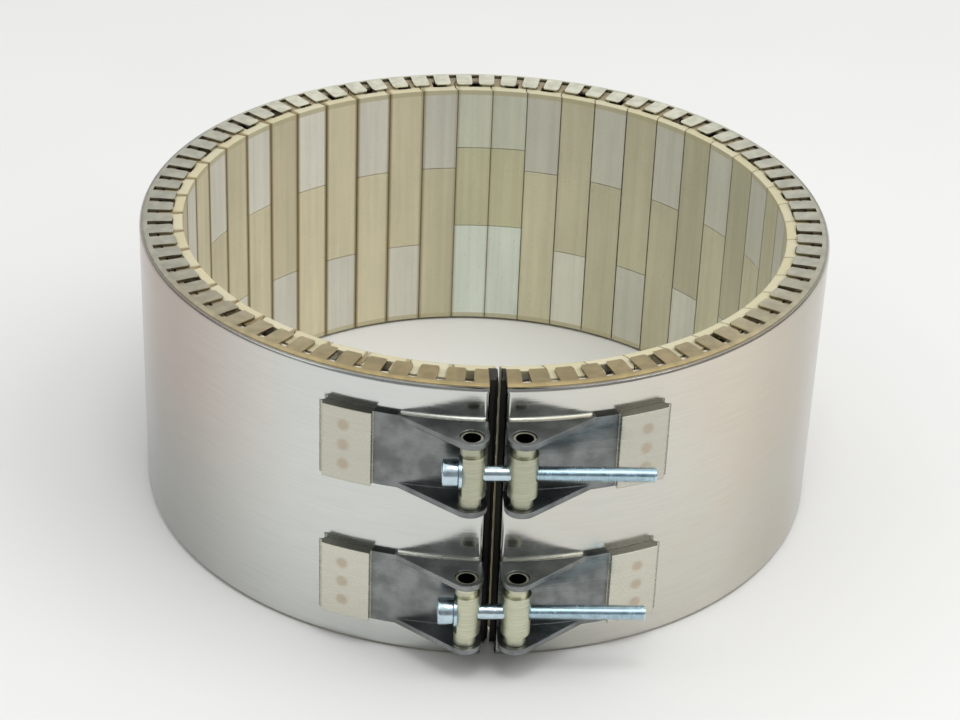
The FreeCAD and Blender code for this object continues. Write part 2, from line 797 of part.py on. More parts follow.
def terminals():
    """Two studs at the back, insulated from the shell, each with a collar outside and a nut inside."""
    stud_root, stud = d.stud_root_diameter / 2, d.stud_diameter / 2
    bore = stud_root + d.stud_clearance
    mica_low = strap_outside + d.face_gap
    mica_high = mica_low + d.mica_sheet
    foot = shell_outside + d.face_gap
    flange = foot + d.bush_base_height
    neck = flange + d.bush_top_height
    collar = neck + d.face_gap
    thread = collar + d.collar_height
    stud_end = thread + d.stud_free_length
    half_nut = d.inner_nut_flats / 2
    nut_high = root(strap_inside * strap_inside - half_nut * half_nut) - d.face_gap
    nut_low = nut_high - d.inner_nut_height
    stud_low = nut_low - d.stud_end_stand

    studs = turned_pair(
        "terminal_studs",
        (0, stud_low),
        (stud_root, stud_low),
        (stud_root, thread),
        (stud, thread),
        (stud, stud_end - d.screw_chamfer),
        (stud - d.screw_chamfer, stud_end),
        (0, stud_end),
    )
    hexagons(studs, collar, d.collar_height, d.collar_flats)
    spigot, base, top = d.bush_spigot_diameter / 2, d.bush_base_diameter / 2, d.bush_top_diameter / 2
    bushes = turned_pair(
        "terminal_insulators",
        (bore, mica_high + d.face_gap),
        (spigot, mica_high + d.face_gap),
        (spigot, foot),
        (base, foot),
        (base, flange),
        (top, flange),
        (top, neck),
        (bore, neck),
    )
    micas = new_body("inner_insulators", several=True)
    half = d.mica_side / 2
    plate = new_sketch(micas, "XZ_Plane", -mica_low)
    outline(plate, (half, -half), (half, half), (-half, half), (-half, -half))
    circle(plate, 0, 0, bore)
    pad(micas, plate, d.mica_sheet, both_ways=False, reverse=True)
    nuts = new_body("inner_nuts", several=True)
    hexagons(nuts, nut_low, d.inner_nut_height, d.inner_nut_flats, stud_root + d.thread_clearance)
    for body in (studs, bushes, micas, nuts):
        pair_of(body)


def hexagons(body, low, height, flats, hole=None):
    """A hexagon prism along Y, with a hole in it where one is given."""
    sketch = new_sketch(body, "XZ_Plane", -low)
    hexagon(sketch, as_size(0), flats)
    if hole is not None:
        circle(sketch, 0, 0, hole)
    pad(body, sketch, height, both_ways=False, reverse=True)


shell()
tile_mat()
blanket("blanket_right", 0)
blanket("blanket_left", 180)
coil()
lead_strap("lead_strap_right", 0)
lead_strap("lead_strap_left", 180)
brackets()
barrels("nut_barrels", 1, d.thread_clearance, flat=False)
barrels("plain_barrels", -1, d.shank_clearance, flat=True)
for name, level in (("upper", 1), ("lower", -1)):
    washer(f"{name}_washer", level)
    screw(f"{name}_screw", level)
terminals()
doc.recompute()

faults = [item.Name for item in doc.Objects if {"Invalid", "Error"} & set(item.State)]
bodies = [item for item in doc.Objects if item.TypeId == "PartDesign::Body"]
faults += [body.Label for body in bodies if body.Shape.isNull() or not body.Shape.isValid()]
if faults:
    raise RuntimeError(f"these did not build: {faults}")

os.makedirs("parts", exist_ok=True)
for body in bodies:
    body.Shape.exportStep(os.path.join("parts", f"{body.Label}.step"))
    print(f"{body.Label}: {len(body.Shape.Solids)} solids, {body.Shape.Volume / 1000:.2f} cm3")
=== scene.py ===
"""Looks of a ceramic band heater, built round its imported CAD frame.

Run as a script it makes the folded shell and the threaded parts, gives every part its
finish, and sets up a plain studio.
"""

import math

import bpy
import numpy as np
from bpy.props import FloatProperty, FloatVectorProperty, IntProperty, PointerProperty
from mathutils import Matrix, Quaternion, Vector


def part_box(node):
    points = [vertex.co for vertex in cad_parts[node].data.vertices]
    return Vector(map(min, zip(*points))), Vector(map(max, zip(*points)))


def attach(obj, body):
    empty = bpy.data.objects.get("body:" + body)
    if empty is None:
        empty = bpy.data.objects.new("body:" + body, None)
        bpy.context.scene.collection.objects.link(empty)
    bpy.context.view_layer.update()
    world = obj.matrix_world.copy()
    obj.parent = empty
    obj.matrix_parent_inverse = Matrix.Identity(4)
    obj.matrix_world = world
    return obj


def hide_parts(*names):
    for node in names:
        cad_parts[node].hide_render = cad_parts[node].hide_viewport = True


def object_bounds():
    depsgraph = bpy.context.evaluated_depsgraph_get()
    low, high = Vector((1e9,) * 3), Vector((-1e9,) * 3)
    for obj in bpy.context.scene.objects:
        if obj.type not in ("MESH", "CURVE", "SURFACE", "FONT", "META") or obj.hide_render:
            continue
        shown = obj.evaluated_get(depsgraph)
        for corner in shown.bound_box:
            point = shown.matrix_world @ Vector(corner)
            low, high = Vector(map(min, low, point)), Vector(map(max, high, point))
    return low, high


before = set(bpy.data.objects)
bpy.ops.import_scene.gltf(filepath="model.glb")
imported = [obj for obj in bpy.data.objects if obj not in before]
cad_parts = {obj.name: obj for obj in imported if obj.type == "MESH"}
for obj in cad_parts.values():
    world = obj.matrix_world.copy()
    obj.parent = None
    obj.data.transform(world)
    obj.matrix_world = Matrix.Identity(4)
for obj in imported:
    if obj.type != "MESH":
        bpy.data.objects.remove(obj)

bl_info = {
    "name": "Band Heater Looks",
    "version": (1, 0, 0),
    "blender": (4, 5, 0),
    "location": "3D View > Sidebar > Band Heater",
    "description": "Folded shell, threaded parts, finishes and studio for a packed band heater",
    "category": "Object",
}

CAD_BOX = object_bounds()
MM = 0.001
SHELL_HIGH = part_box("shell")[1]
SCREW_LOW, SCREW_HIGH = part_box("upper_screw")
STUD_LOW, STUD_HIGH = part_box("terminal_studs")
CLAMP_HEIGHT = (SCREW_LOW.z + SCREW_HIGH.z) / 2
SCREW_DEPTH = (SCREW_LOW.y + SCREW_HIGH.y) / 2
BARREL_X = sum(corner.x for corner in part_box("nut_barrels")) / 2
TAB_SLOPE = 0.15
LIP_STEPS = 3
BEND_STEPS = 7


# Properties


def length(name, description, default):
    """A length in metres, shown in the scene's units."""
    return FloatProperty(
        name=name, description=description, default=default, min=0.0, precision=5, unit="LENGTH"
    )


def share(name, description, default):
    """A number between nought and one."""
    return FloatProperty(
        name=name, description=description, default=default, min=0.0, max=1.0, subtype="FACTOR"
    )


def degrees(name, description, default):
    """An angle, its default given in degrees."""
    return FloatProperty(
        name=name, description=description, default=math.radians(default), subtype="ANGLE"
    )


def watts(name, description, default):
    """A light's power in watts."""
    return FloatProperty(name=name, description=description, default=default, min=0.0, unit="POWER")


def linear(level):
    """One channel of a colour: its 0 to 255 screen value as the linear value that shaders use."""
    level = level / 255
    return level / 12.92 if level <= 0.04045 else ((level + 0.055) / 1.055) ** 2.4


def colour(name, description, red, green, blue):
    """A colour, its default written as 0 to 255 screen values."""
    default = (linear(red), linear(green), linear(blue))
    return FloatVectorProperty(
        name=name, description=description, default=default, min=0.0, max=1.0, subtype="COLOR"
    )


class BandSizes(bpy.types.PropertyGroup):
    """Sizes of the folded shell, the threaded parts and the marks in the finishes"""

    sheet: length("Shell sheet", "Thickness of the shell's sheet", 0.8 * MM)
    fold: length("Fold radius", "Outside radius of the folded edges", 2.4 * MM)
    gap: length("Gap", "Gap between the shell's ends", 4.8 * MM)
    lip: length("Lip depth", "How far the lips beside the gap reach inward", 5.6 * MM)
    lip_bend: length("Lip bend", "Outside radius where a lip is bent in", 1.6 * MM)
    tabs: IntProperty(name="Tabs", description="Tabs round one folded edge", default=82, min=8)
    tab_length: length("Tab length", "From the shell's outside to the tips of its tabs", 11.0 * MM)
    slot: length("Slot width", "Slot between two tabs at the fold", 2.9 * MM)
    slot_land: length("Slot land", "Flat between a slot and the fold", 0.3 * MM)
    tab_spread: length("Tab spread", "How unevenly the tabs are folded down", 0.18 * MM)
    thread_pitch: length("Thread pitch", "Pitch of the clamp screws and studs", 0.8 * MM)
    thread_depth: length("Thread depth", "Depth of their threads", 0.46 * MM)
    screw: length("Screw", "Diameter of a clamp screw", 5.0 * MM)
    screw_thread: length("Threaded length", "Thread of a clamp screw, from its end", 44.0 * MM)
    head: length("Screw head", "Diameter of a clamp screw's head", 8.5 * MM)
    head_height: length("Head height", "Height of a clamp screw's head", 5.0 * MM)
    socket: length("Socket", "Socket of a clamp screw, across flats", 4.0 * MM)
    socket_depth: length("Socket depth", "Depth of the socket", 2.6 * MM)
    stud: length("Stud", "Diameter of a terminal stud", 5.0 * MM)
    stud_root: length("Stud root", "Diameter of a stud in its insulators", 4.0 * MM)
    stud_thread: length("Stud thread", "Free thread of a terminal stud", 11.0 * MM)
    stud_pitch: length("Stud pitch", "Distance between the two studs", 30.0 * MM)
    collar: length("Stud collar", "Collar of a stud, across flats", 8.0 * MM)
    collar_height: length("Collar height", "Height of the collar", 3.5 * MM)
    bore: length("Bore", "Radius of the tile ring's bore", 102.5 * MM)
    columns: IntProperty(name="Tile columns", description="Columns round the bore", default=49, min=3)
    column_gap: length("Column gap", "Gap in the tile ring at the shell's gap", 1.2 * MM)
    tile_end: length("Tile end", "Height from the middle to a tile's dulled end", 47.0 * MM)
    ear_end: length("Ear end", "From the middle of the gap along the shell to an ear's end", 30.0 * MM)
    tail: length("Tail", "From the middle of the gap along the shell to a doubled tail", 37.4 * MM)
    weld_column: length("Weld column", "From the middle of the gap to the weld marks", 46.4 * MM)
    weld_pitch: length("Weld pitch", "Distance between two weld marks", 7.0 * MM)
    # The dark bore is painted shade on the trunnion's end.
    end_bore: length("End bore", "Radius of the dark bore in a trunnion's end", 2.76 * MM)
    bore_floor: length("Bore floor", "From a barrel's middle to just short of that bore's floor", 8.3 * MM)


class BandColours(bpy.types.PropertyGroup):
    """Colours of the finishes"""

    steel: colour("Shell steel", "Bright rolled steel of the shell", 212, 215, 212)
    # Painted reflection tints: the warm haze on the right and the rosy haze on the upper left stand for the
    # colours of the surroundings reflected in the steel.
    steel_warm: colour("Shell haze", "Warm haze on the shell's steel", 214, 205, 190)
    steel_rosy: colour("Shell blush", "Rosy haze on the shell's far left", 214, 200, 190)
    # Painted reflections: the front tabs' brown stands for the tile wall reflected in them, and the side
    # tabs' pale tone stands for the lights reflected in them.
    tab_front_reflection: colour("Front tabs", "Tabs beside the gap, tinted by heat", 178, 160, 116)
    tab_side_reflection: colour("Side tabs", "Tabs away from the gap", 209, 208, 190)
    # Painted light: the strip's dark grey and the tails' bright cream are one steel, shaded and lit by the
    # way each part faces.
    clamp: colour("Clamp steel", "Plain steel of the clamp brackets", 142, 146, 146)
    tail: colour("Clamp tails", "Brighter steel of the doubled tails", 205, 203, 190)
    # Painted highlight: the near-white colour of the bends where the ears turn up.
    bend: colour("Clamp bends", "Steel polished where the ears are bent up", 246, 246, 240)
    weld: colour("Weld marks", "Rim of a spot weld", 168, 140, 112)
    zinc: colour("Zinc", "Bright zinc on the screws and washers", 206, 226, 236)
    barrel: colour("Barrels", "Pale yellow plating of the barrels", 202, 203, 180)
    long_tile: colour("Long tiles", "Fired ceramic of the long tiles", 214, 205, 176)
    # Painted shade: the darker copy of the long tiles' colour used on the right of the bore.
    long_tile_shaded: colour("Long tiles, right", "The same ceramic on the right of the band", 203, 200, 172)
    short_tile: colour("Short tiles", "Fired ceramic of the short tiles", 220, 217, 206)
    # Painted shade: the darker copy of the short tiles' colour used on the right of the bore.
    short_tile_shaded: colour("Short tiles, right", "The same ceramic on the right", 212, 212, 198)
    back_high: colour("Back tiles, upper", "Greenish grey ceramic of the upper back tiles", 212, 216, 198)
    back_middle: colour("Back tiles, middle", "Olive ceramic of the middle back tiles", 208, 206, 172)
    back_low: colour("Back tiles, lower", "Whitish ceramic of the lower back tiles", 228, 237, 225)
    tile_end: colour("Tile ends", "Dulled ends of the tiles beside the tabs", 186, 178, 144)
    joint: colour("Tile joints", "Dust in the joints between tiles", 132, 115, 76)
    stud: colour("Stud steel", "Nickel-plated steel of the terminals", 210, 206, 194)
    porcelain: colour("Porcelain", "Glazed bushes of the terminals", 238, 232, 218)
    mica: colour("Mica", "Mica plates and inner insulators", 176, 150, 110)
    fibre: colour("Fibre blanket", "Ceramic fibre behind the tiles", 232, 226, 208)
    # Painted shade: the brown of fibre and tile ends in the slots between the tabs, away from the gap.
    slot_shade: colour("Scorched fibre", "Fibre and tile ends under the slots, away from the gap", 128, 112, 82)
    wire: colour("Coil wire", "Oxidised resistance wire", 96, 84, 74)
    floor: colour("Floor", "Matt floor of the studio", 222, 222, 220)


class StudioSettings(bpy.types.PropertyGroup):
    """Camera and lights"""

    turn: degrees("Camera turn", "Camera from the gap's side, anticlockwise", -3)
    rise: degrees("Camera rise", "Camera above the level", 29.76)
    roll: degrees("Camera roll", "Camera's roll", 2.28)
    distance: length("Camera distance", "Camera from the band's centre", 0.8597)
    lens: FloatProperty(name="Lens", description="Focal length", default=91.91, min=1.0, unit="CAMERA")
    shift_x: FloatProperty(name="Shift across", description="Sideways shift of the lens", default=-0.0004)
    shift_y: FloatProperty(name="Shift up", description="Upward shift of the lens", default=-0.0230)
    room: share("Room", "Strength of the dim room round the band", 0.24)
    overhead: FloatProperty(
        name="Overhead light", description="Strength of the broad soft light above", default=1.05, min=0.0
    )
    key: watts("Key light", "Soft light from the front right", 11.0)
    fill: watts("Fill light", "Soft light from the left", 2.6)
    glint: watts("Glint light", "Small light overhead that draws the bends", 3.2)


# Meshes


def add_piece(name, points, faces, slot, body, stands_for=()):
    """Puts points and faces, an array for each kind of face, into a new mesh at the origin.

    The piece rides on a body, and may stand for CAD nodes.
    """
    mesh = bpy.data.meshes.new(name)
    mesh.from_pydata(points.tolist(), [], [face for part in faces for face in part.tolist()])
    mesh.validate()
    mesh.shade_smooth()
    mesh.set_sharp_from_angle(angle=math.radians(32))
    piece = bpy.data.objects.new(name, mesh)
    bpy.context.scene.collection.objects.link(piece)
    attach(piece, body)
    if stands_for:
        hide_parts(*stands_for)
    return piece


def several(*solids):
    """Joins (points, faces) pairs into one pair, with face numbers counted on from pair to pair."""
    points = np.concatenate([corners for corners, _ in solids])
    firsts = np.cumsum([0] + [len(corners) for corners, _ in solids[:-1]])
    return points, [part + first for first, (_, faces) in zip(firsts, solids) for part in faces]


def tube(rows, columns):
    """Numbers of a grid's points whose last column joins its first, and the quads between its rows."""
    here = np.arange(rows * columns).reshape(rows, columns)
    beside = np.roll(here, -1, axis=1)
    return here, np.stack([here[:-1], beside[:-1], beside[1:], here[1:]], axis=-1).reshape(-1, 4)


def flattened(wave, exponent):
    """A wave with flattened crests: its sign times its size to an exponent below one."""
    return np.sign(wave) * np.abs(wave) ** exponent


def turned(along, radii):
    """A closed surface round the X axis.

    The point at row i and column j is along_i on the axis and radii_ij off it, at the angle
    j turns / columns. A point on the axis closes each end.
    """
    rows, columns = radii.shape
    angle = np.linspace(0, 2 * np.pi, columns, endpoint=False)
    x = np.broadcast_to(along[:, None], radii.shape)
    grid = np.stack([x, radii * np.cos(angle), radii * np.sin(angle)], axis=-1).reshape(-1, 3)
    ends = np.array([[along[0], 0, 0], [along[-1], 0, 0]])
    here, quads = tube(rows, columns)
    beside = np.roll(here, -1, axis=1)
    near, far = rows * columns, rows * columns + 1
    first = np.stack([np.full(columns, near), beside[0], here[0]], axis=-1)
    last = np.stack([np.full(columns, far), here[-1], beside[-1]], axis=-1)
    return np.concatenate([grid, ends]), [quads, first, last]


def hexagon(flats, columns):
    """Radius of a hexagon at each column.

    It is half the flats over the cosine of the angle from the nearest flat's middle.
    """
    angle = np.linspace(0, 2 * np.pi, columns, endpoint=False)
    return flats / 2 / np.cos((angle + np.pi / 6) % (np.pi / 3) - np.pi / 6)


def thread(along, start, end, radius, pitch, depth, columns):
    """Radii of a screw thread: the crest less the depth times a trapezium wave.

    The wave is of along / pitch less angle / turn. It fades in over two turns at the start, and
    a 45 degree chamfer closes the end.
    """
    turns = np.linspace(0, 1, columns, endpoint=False)
    wave = np.abs(2 * ((along[:, None] / pitch - turns) % 1) - 1)
    groove = np.clip((0.86 - wave) / 0.62, 0, 1)
    fade = np.clip((along[:, None] - start) / (2 * pitch), 0, 1)
    chamfer = np.maximum(end - along[:, None] + radius - 1.5 * depth, 0)
    return np.minimum(radius - depth * groove * fade, chamfer)


def cut_sheet(outside, inside, kept):
    """A closed sheet between two grids of points, made of the cells that are kept.

    Kept cells give an outer face and a reversed inner face, and wherever a kept cell has no
    kept neighbour a wall joins the two grids.
    """
    rows, columns = outside.shape[:2]
    outer = np.arange(rows * columns).reshape(rows, columns)
    inner = outer + rows * columns
    a, b, c, d = outer[:-1, :-1], outer[:-1, 1:], outer[1:, 1:], outer[1:, :-1]
    a_in, b_in, c_in, d_in = inner[:-1, :-1], inner[:-1, 1:], inner[1:, 1:], inner[1:, :-1]
    ringed = np.pad(kept, 1)
    centre = ringed[1:-1, 1:-1]
    parts = [
        np.stack([a, d, c, b], axis=-1)[kept],
        np.stack([a_in, b_in, c_in, d_in], axis=-1)[kept],
        np.stack([b, c, c_in, b_in], axis=-1)[centre & ~ringed[1:-1, 2:]],
        np.stack([d, a, a_in, d_in], axis=-1)[centre & ~ringed[1:-1, :-2]],
        np.stack([c, d, d_in, c_in], axis=-1)[centre & ~ringed[2:, 1:-1]],
        np.stack([a, b, b_in, a_in], axis=-1)[centre & ~ringed[:-2, 1:-1]],
    ]
    faces = np.concatenate(parts)
    used, numbered = np.unique(faces, return_inverse=True)
    points = np.concatenate([outside.reshape(-1, 3), inside.reshape(-1, 3)])[used]
    return points, [numbered.reshape(faces.shape)]


def shell_rows(sizes, offset):
    """Radius, height and zone of each row of the shell's section, from upper tab tips to lower ones.

    The upper half runs out along the tab, a quarter circle round the fold and down the wall;
    the lower half mirrors it. The inner face is the same section moved in by the sheet.
    Zones: 0 a tab, 1 a fold, 2 the wall.
    """
    outer = SHELL_HIGH.x
    edge = SHELL_HIGH.z
    tip = outer - sizes.tab_length
    middle = outer - sizes.fold
    root = middle - sizes.slot_land - tip
    reach = np.array([0, 0.35 * MM, 1.0 * MM, root / 2, root])
    quarter = np.linspace(0, np.pi / 2, 9)
    radius = np.concatenate([tip + reach, middle + (sizes.fold - offset) * np.sin(quarter)])
    over_fold = edge - sizes.fold + (sizes.fold - offset) * np.cos(quarter)
    height = np.concatenate([np.full(5, edge - offset), over_fold])
    wall = np.linspace(edge - sizes.fold, sizes.fold - edge, 12)[1:-1]
    radius = np.concatenate([radius, np.full(10, outer - offset), radius[::-1]])
    height = np.concatenate([height, wall, -height[::-1]])
    zone = np.concatenate([np.zeros(5), np.ones(8), np.full(12, 2), np.ones(8), np.zeros(5)])
    return radius, height, zone


def shell_columns(sizes, outer):
    """Angle of each column round the ring, from one side of the gap to the other, and which cells are slots.

    Each tab has five columns across it and one in the slot beside it. Near the gap the columns
    give way to the bend of the lip.
    """
    step = 2 * np.pi / sizes.tabs
    root = outer - sizes.fold - sizes.slot_land
    half_tab = (root * step - sizes.slot) / 2 / root
    local = np.array([-step / 2, -half_tab, -half_tab / 2, 0, half_tab / 2, half_tab])
    angle = (np.arange(sizes.tabs)[:, None] * step + step / 2 + local).ravel()
    first = math.asin((sizes.gap / 2 + sizes.lip_bend) / outer)
    angle = angle[(angle > first + 0.2 * half_tab) & (angle < 2 * np.pi - first - 0.2 * half_tab)]
    bend = np.arcsin((sizes.gap / 2 + sizes.lip_bend * np.linspace(0, 1, BEND_STEPS)) / outer)
    lip = np.repeat(bend[0], LIP_STEPS)
    angle = np.concatenate([lip, bend, angle, 2 * np.pi - bend[::-1], 2 * np.pi - lip])
    middles = (angle[1:] + angle[:-1]) / 2
    slot = np.abs((middles % step) - step / 2) > half_tab
    return angle, slot, step


def shell_face(sizes, offset, spread):
    """One face of the shell's sheet as a grid of points, offset in from its outside.

    The wall and the folds are the section turned about the band's axis. A tab is carried
    straight along its own middle line, so its sides stay parallel, and tilts by its spread.
    Beside the gap the wall turns in round the lip's bend and runs inward.
    """
    outer = SHELL_HIGH.x
    radius, height, zone = shell_rows(sizes, offset)
    angle, _, step = shell_columns(sizes, outer)
    root = outer - sizes.fold - sizes.slot_land
    number = np.clip(np.floor(angle / step), 0, sizes.tabs - 1)
    middle = (number + 0.5) * step
    local = angle - middle
    tip = outer - sizes.tab_length
    narrow = np.interp(radius, [0, tip, tip + MM], [0.82, 0.82, 1.0])[:, None]
    beside = root * np.sin(local) * narrow
    onward = root * np.cos(local) - (root - radius[:, None])
    tab = (zone == 0)[:, None]
    across = np.where(tab, onward * np.sin(middle) + beside * np.cos(middle), radius[:, None] * np.sin(angle))
    deep = np.where(tab, beside * np.sin(middle) - onward * np.cos(middle), -radius[:, None] * np.cos(angle))
    droop = spread[number.astype(int)] * np.clip((root - radius[:, None]) / (root - tip), 0, 1)
    up = np.broadcast_to(height[:, None], across.shape) - np.where(tab, droop * np.sign(height[:, None]), 0)
    near = (deep < 0) & (np.abs(across) < sizes.gap / 2)
    across = np.where(near, np.copysign(sizes.gap / 2, across), across)

    turn = np.linspace(0, np.pi / 2, BEND_STEPS)
    inner_bend = sizes.lip_bend - offset
    side = sizes.gap / 2 + sizes.lip_bend - inner_bend * np.cos(turn)
    depth = np.sqrt(outer**2 - (sizes.gap / 2 + sizes.lip_bend) ** 2) - sizes.lip_bend
    front = depth + inner_bend * np.sin(turn)
    lip_front = np.linspace(outer - sizes.lip, depth, LIP_STEPS + 1)[:-1]
    side = np.concatenate([np.full(LIP_STEPS, sizes.gap / 2 + offset), side])
    front = np.concatenate([lip_front, front])
    wall = zone == 2
    steps = LIP_STEPS + BEND_STEPS
    across[wall, :steps], deep[wall, :steps] = side, -front
    across[wall, -steps:], deep[wall, -steps:] = -side[::-1], -front[::-1]
    return np.stack([across, deep, up], axis=-1)


def shell_sheet(sizes):
    """The shell as one closed sheet.

    The cells of its slots, and of its lips above and below the wall, are left out.
    """
    spread = np.random.default_rng(7).uniform(0, sizes.tab_spread, sizes.tabs)
    outside, inside = shell_face(sizes, 0, spread), shell_face(sizes, sizes.sheet, spread)
    zone = shell_rows(sizes, 0)[2]
    _, slot, _ = shell_columns(sizes, SHELL_HIGH.x)
    in_tab = (zone[:-1] == 0) & (zone[1:] == 0)
    in_wall = (zone[:-1] == 2) & (zone[1:] == 2)
    kept = ~(in_tab[:, None] & slot)
    kept[:, :LIP_STEPS] = in_wall[:, None]
    kept[:, -LIP_STEPS:] = in_wall[:, None]
    return cut_sheet(outside, inside, kept)


def fibre_edge(side):
    """The blanket's edge packed behind the tabs: a crowned section carried round the ring from gap to gap.

    Its radius and height are a middle value plus a half size times the cosine or sine of the
    section's angle, flattened by a power of a half, and waves of several lengths make it lumpy.
    """
    outer, edge = SHELL_HIGH.x, SHELL_HIGH.z
    low, high = outer - 5.85 * MM, outer - 1.75 * MM
    start = 4.4 * MM / outer
    turn = np.linspace(start, 2 * np.pi - start, 420)[:, None]
    ends = np.clip(np.minimum(turn - start, 2 * np.pi - start - turn) / 0.012, 0, 1) ** 0.5
    around = np.linspace(0, 2 * np.pi, 16, endpoint=False)
    lumps = (np.sin(61 * turn + side) + np.sin(97 * turn) + np.sin(151 * turn + around)) / 3
    out = flattened(np.cos(around), 0.5) * ends * (0.93 + 0.07 * lumps)
    up = flattened(np.sin(around), 0.5) * ends * (0.85 + 0.15 * lumps)
    radius = (low + high) / 2 + (high - low) / 2 * out
    height = edge - 1.95 * MM + 0.85 * MM * up
    grid = np.stack([radius * np.sin(turn), -radius * np.cos(turn), height * side], axis=-1)
    here, quads = tube(*radius.shape)
    return grid.reshape(-1, 3), [quads[:, ::side], here[:1, ::-side], here[-1:, ::side]]


def gap_packing():
    """A strip of fibre between the first and last tile columns, made dark by the gap's painted shade.

    Its section is a rounded bar, half sizes times a cosine and a flattened sine, carried up
    the band and pinched at both ends, with a slow wave along it.
    """
    rows, columns = 160, 16
    top = SHELL_HIGH.z - 2.2 * MM
    middle = 10.2 * MM - SHELL_HIGH.x
    up = np.linspace(-top, top, rows)[:, None]
    around = np.linspace(0, 2 * np.pi, columns, endpoint=False)
    pinch = np.clip((top - np.abs(up)) / (0.8 * MM), 0, 1) ** 0.5 * 0.95 + 0.05
    across = 0.46 * MM * np.cos(around) * pinch * (0.95 + 0.05 * np.sin(up * 900))
    deep = middle + 3.0 * MM * flattened(np.sin(around), 0.6) * pinch
    grid = np.stack([across, deep, np.broadcast_to(up, across.shape)], axis=-1)
    here, quads = tube(rows, columns)
    return grid.reshape(-1, 3), [quads, here[:1, ::-1], here[-1:]]


def screw_solids(sizes, end):
    """A socket-head screw along X, ending at the given point.

    The head is one turned surface from the socket's floor, a hexagon, out over the top and down
    the side. The shank is another, plain and then threaded.
    """
    under = SCREW_LOW.x + sizes.head_height
    top, head, columns = SCREW_LOW.x, sizes.head / 2, 96
    hexed = hexagon(sizes.socket, columns)
    floor = top + sizes.socket_depth
    edge = 0.35 * MM
    shape = [
        (floor, hexed * 0.02), (floor, hexed), (top + edge, hexed), (top, hexed + edge),
        (top, np.full(columns, head - 2 * edge)), (top + 0.3 * edge, np.full(columns, head - edge)),
        (top + edge, np.full(columns, head - 0.3 * edge)), (top + 2 * edge, np.full(columns, head)),
        (under - edge, np.full(columns, head)), (under, np.full(columns, head - edge)),
        (under, np.full(columns, sizes.screw * 0.3)),
    ]
    along = np.array([place for place, _ in shape])
    cap = turned(along, np.stack([radii for _, radii in shape]))
    start = end - sizes.screw_thread
    plain = np.array([under - edge, (under + start) / 2, start])
    step = sizes.thread_pitch / 9
    cut = np.append(np.arange(start + step, end - 1e-6, step), end - 1e-6)
    along = np.concatenate([plain, cut])
    radii = thread(along, start, end, sizes.screw / 2, sizes.thread_pitch, sizes.thread_depth, 40)
    return cap, turned(along, radii)


def stud_solids(sizes):
    """A terminal stud along X: plain root, hexagonal collar with its corners off, and free thread."""
    end, low = STUD_HIGH.y, STUD_LOW.y
    start = end - sizes.stud_thread
    root = np.array([low, low + 0.3 * MM, start])
    stem = turned(root, np.array([0.85, 1, 1])[:, None] * np.full((3, 40), sizes.stud_root / 2))
    step = sizes.thread_pitch / 9
    cut = np.append(np.arange(start, end - 1e-6, step), end - 1e-6)
    free = turned(cut, thread(cut, start, end, sizes.stud / 2, sizes.thread_pitch, sizes.thread_depth, 40))
    foot = start - sizes.collar_height
    along = foot + sizes.collar_height * np.array([0, 0.08, 0.16, 0.84, 0.92, 1])
    limit = sizes.collar / 2 * np.array([0.97, 1.06, 1.2, 1.2, 1.06, 0.97])
    nut = turned(along, np.minimum(hexagon(sizes.collar, 96), limit[:, None]))
    return stem, free, nut


# Finishes


class Nodes:
    """A node tree being made, and short calls that add to it."""

    def __init__(self, tree):
        self.tree = tree
        self.tree.nodes.clear()

    def add(self, kind, inputs=None, **settings):
        """A new node, its inputs given by name or number as sockets or plain values."""
        node = self.tree.nodes.new(kind)
        for setting, value in settings.items():
            setattr(node, setting, value)
        for key, value in (inputs or {}).items():
            if isinstance(value, bpy.types.NodeSocket):
                self.tree.links.new(value, node.inputs[key])
            else:
                node.inputs[key].default_value = value
        return node

    def maths(self, operation, *values):
        """The result of one sum on numbers or sockets."""
        return self.add("ShaderNodeMath", dict(enumerate(values)), operation=operation).outputs[0]

    def between(self, value, low, high, to_low=0.0, to_high=1.0):
        """A value's place between two limits, smoothly, as a number between two others."""
        inputs = {"Value": value, "From Min": low, "From Max": high, "To Min": to_low, "To Max": to_high}
        return self.add("ShaderNodeMapRange", inputs, interpolation_type="SMOOTHSTEP").outputs[0]

    def past(self, value, limit, blur):
        """One where a value is past a limit, nought before it, blurred by so much to each side."""
        return self.between(value, limit - blur, limit + blur)

    def short_of(self, value, limit, blur):
        """One where a value is short of a limit, nought past it, blurred by so much to each side."""
        return self.between(value, limit - blur, limit + blur, 1.0, 0.0)

    def blend(self, factor, *colours, kind="MIX"):
        """Two colours mixed by a factor."""
        first, second = (c if isinstance(c, bpy.types.NodeSocket) else (*c, 1.0) for c in colours)
        inputs = {0: factor, 6: first, 7: second}
        return self.add("ShaderNodeMix", inputs, data_type="RGBA", blend_type=kind).outputs[2]

    def shade(self, base, factor):
        """A colour made lighter or darker by a factor."""
        grey = self.add("ShaderNodeCombineColor", {0: factor, 1: factor, 2: factor}).outputs[0]
        return self.blend(1.0, base, grey, kind="MULTIPLY")


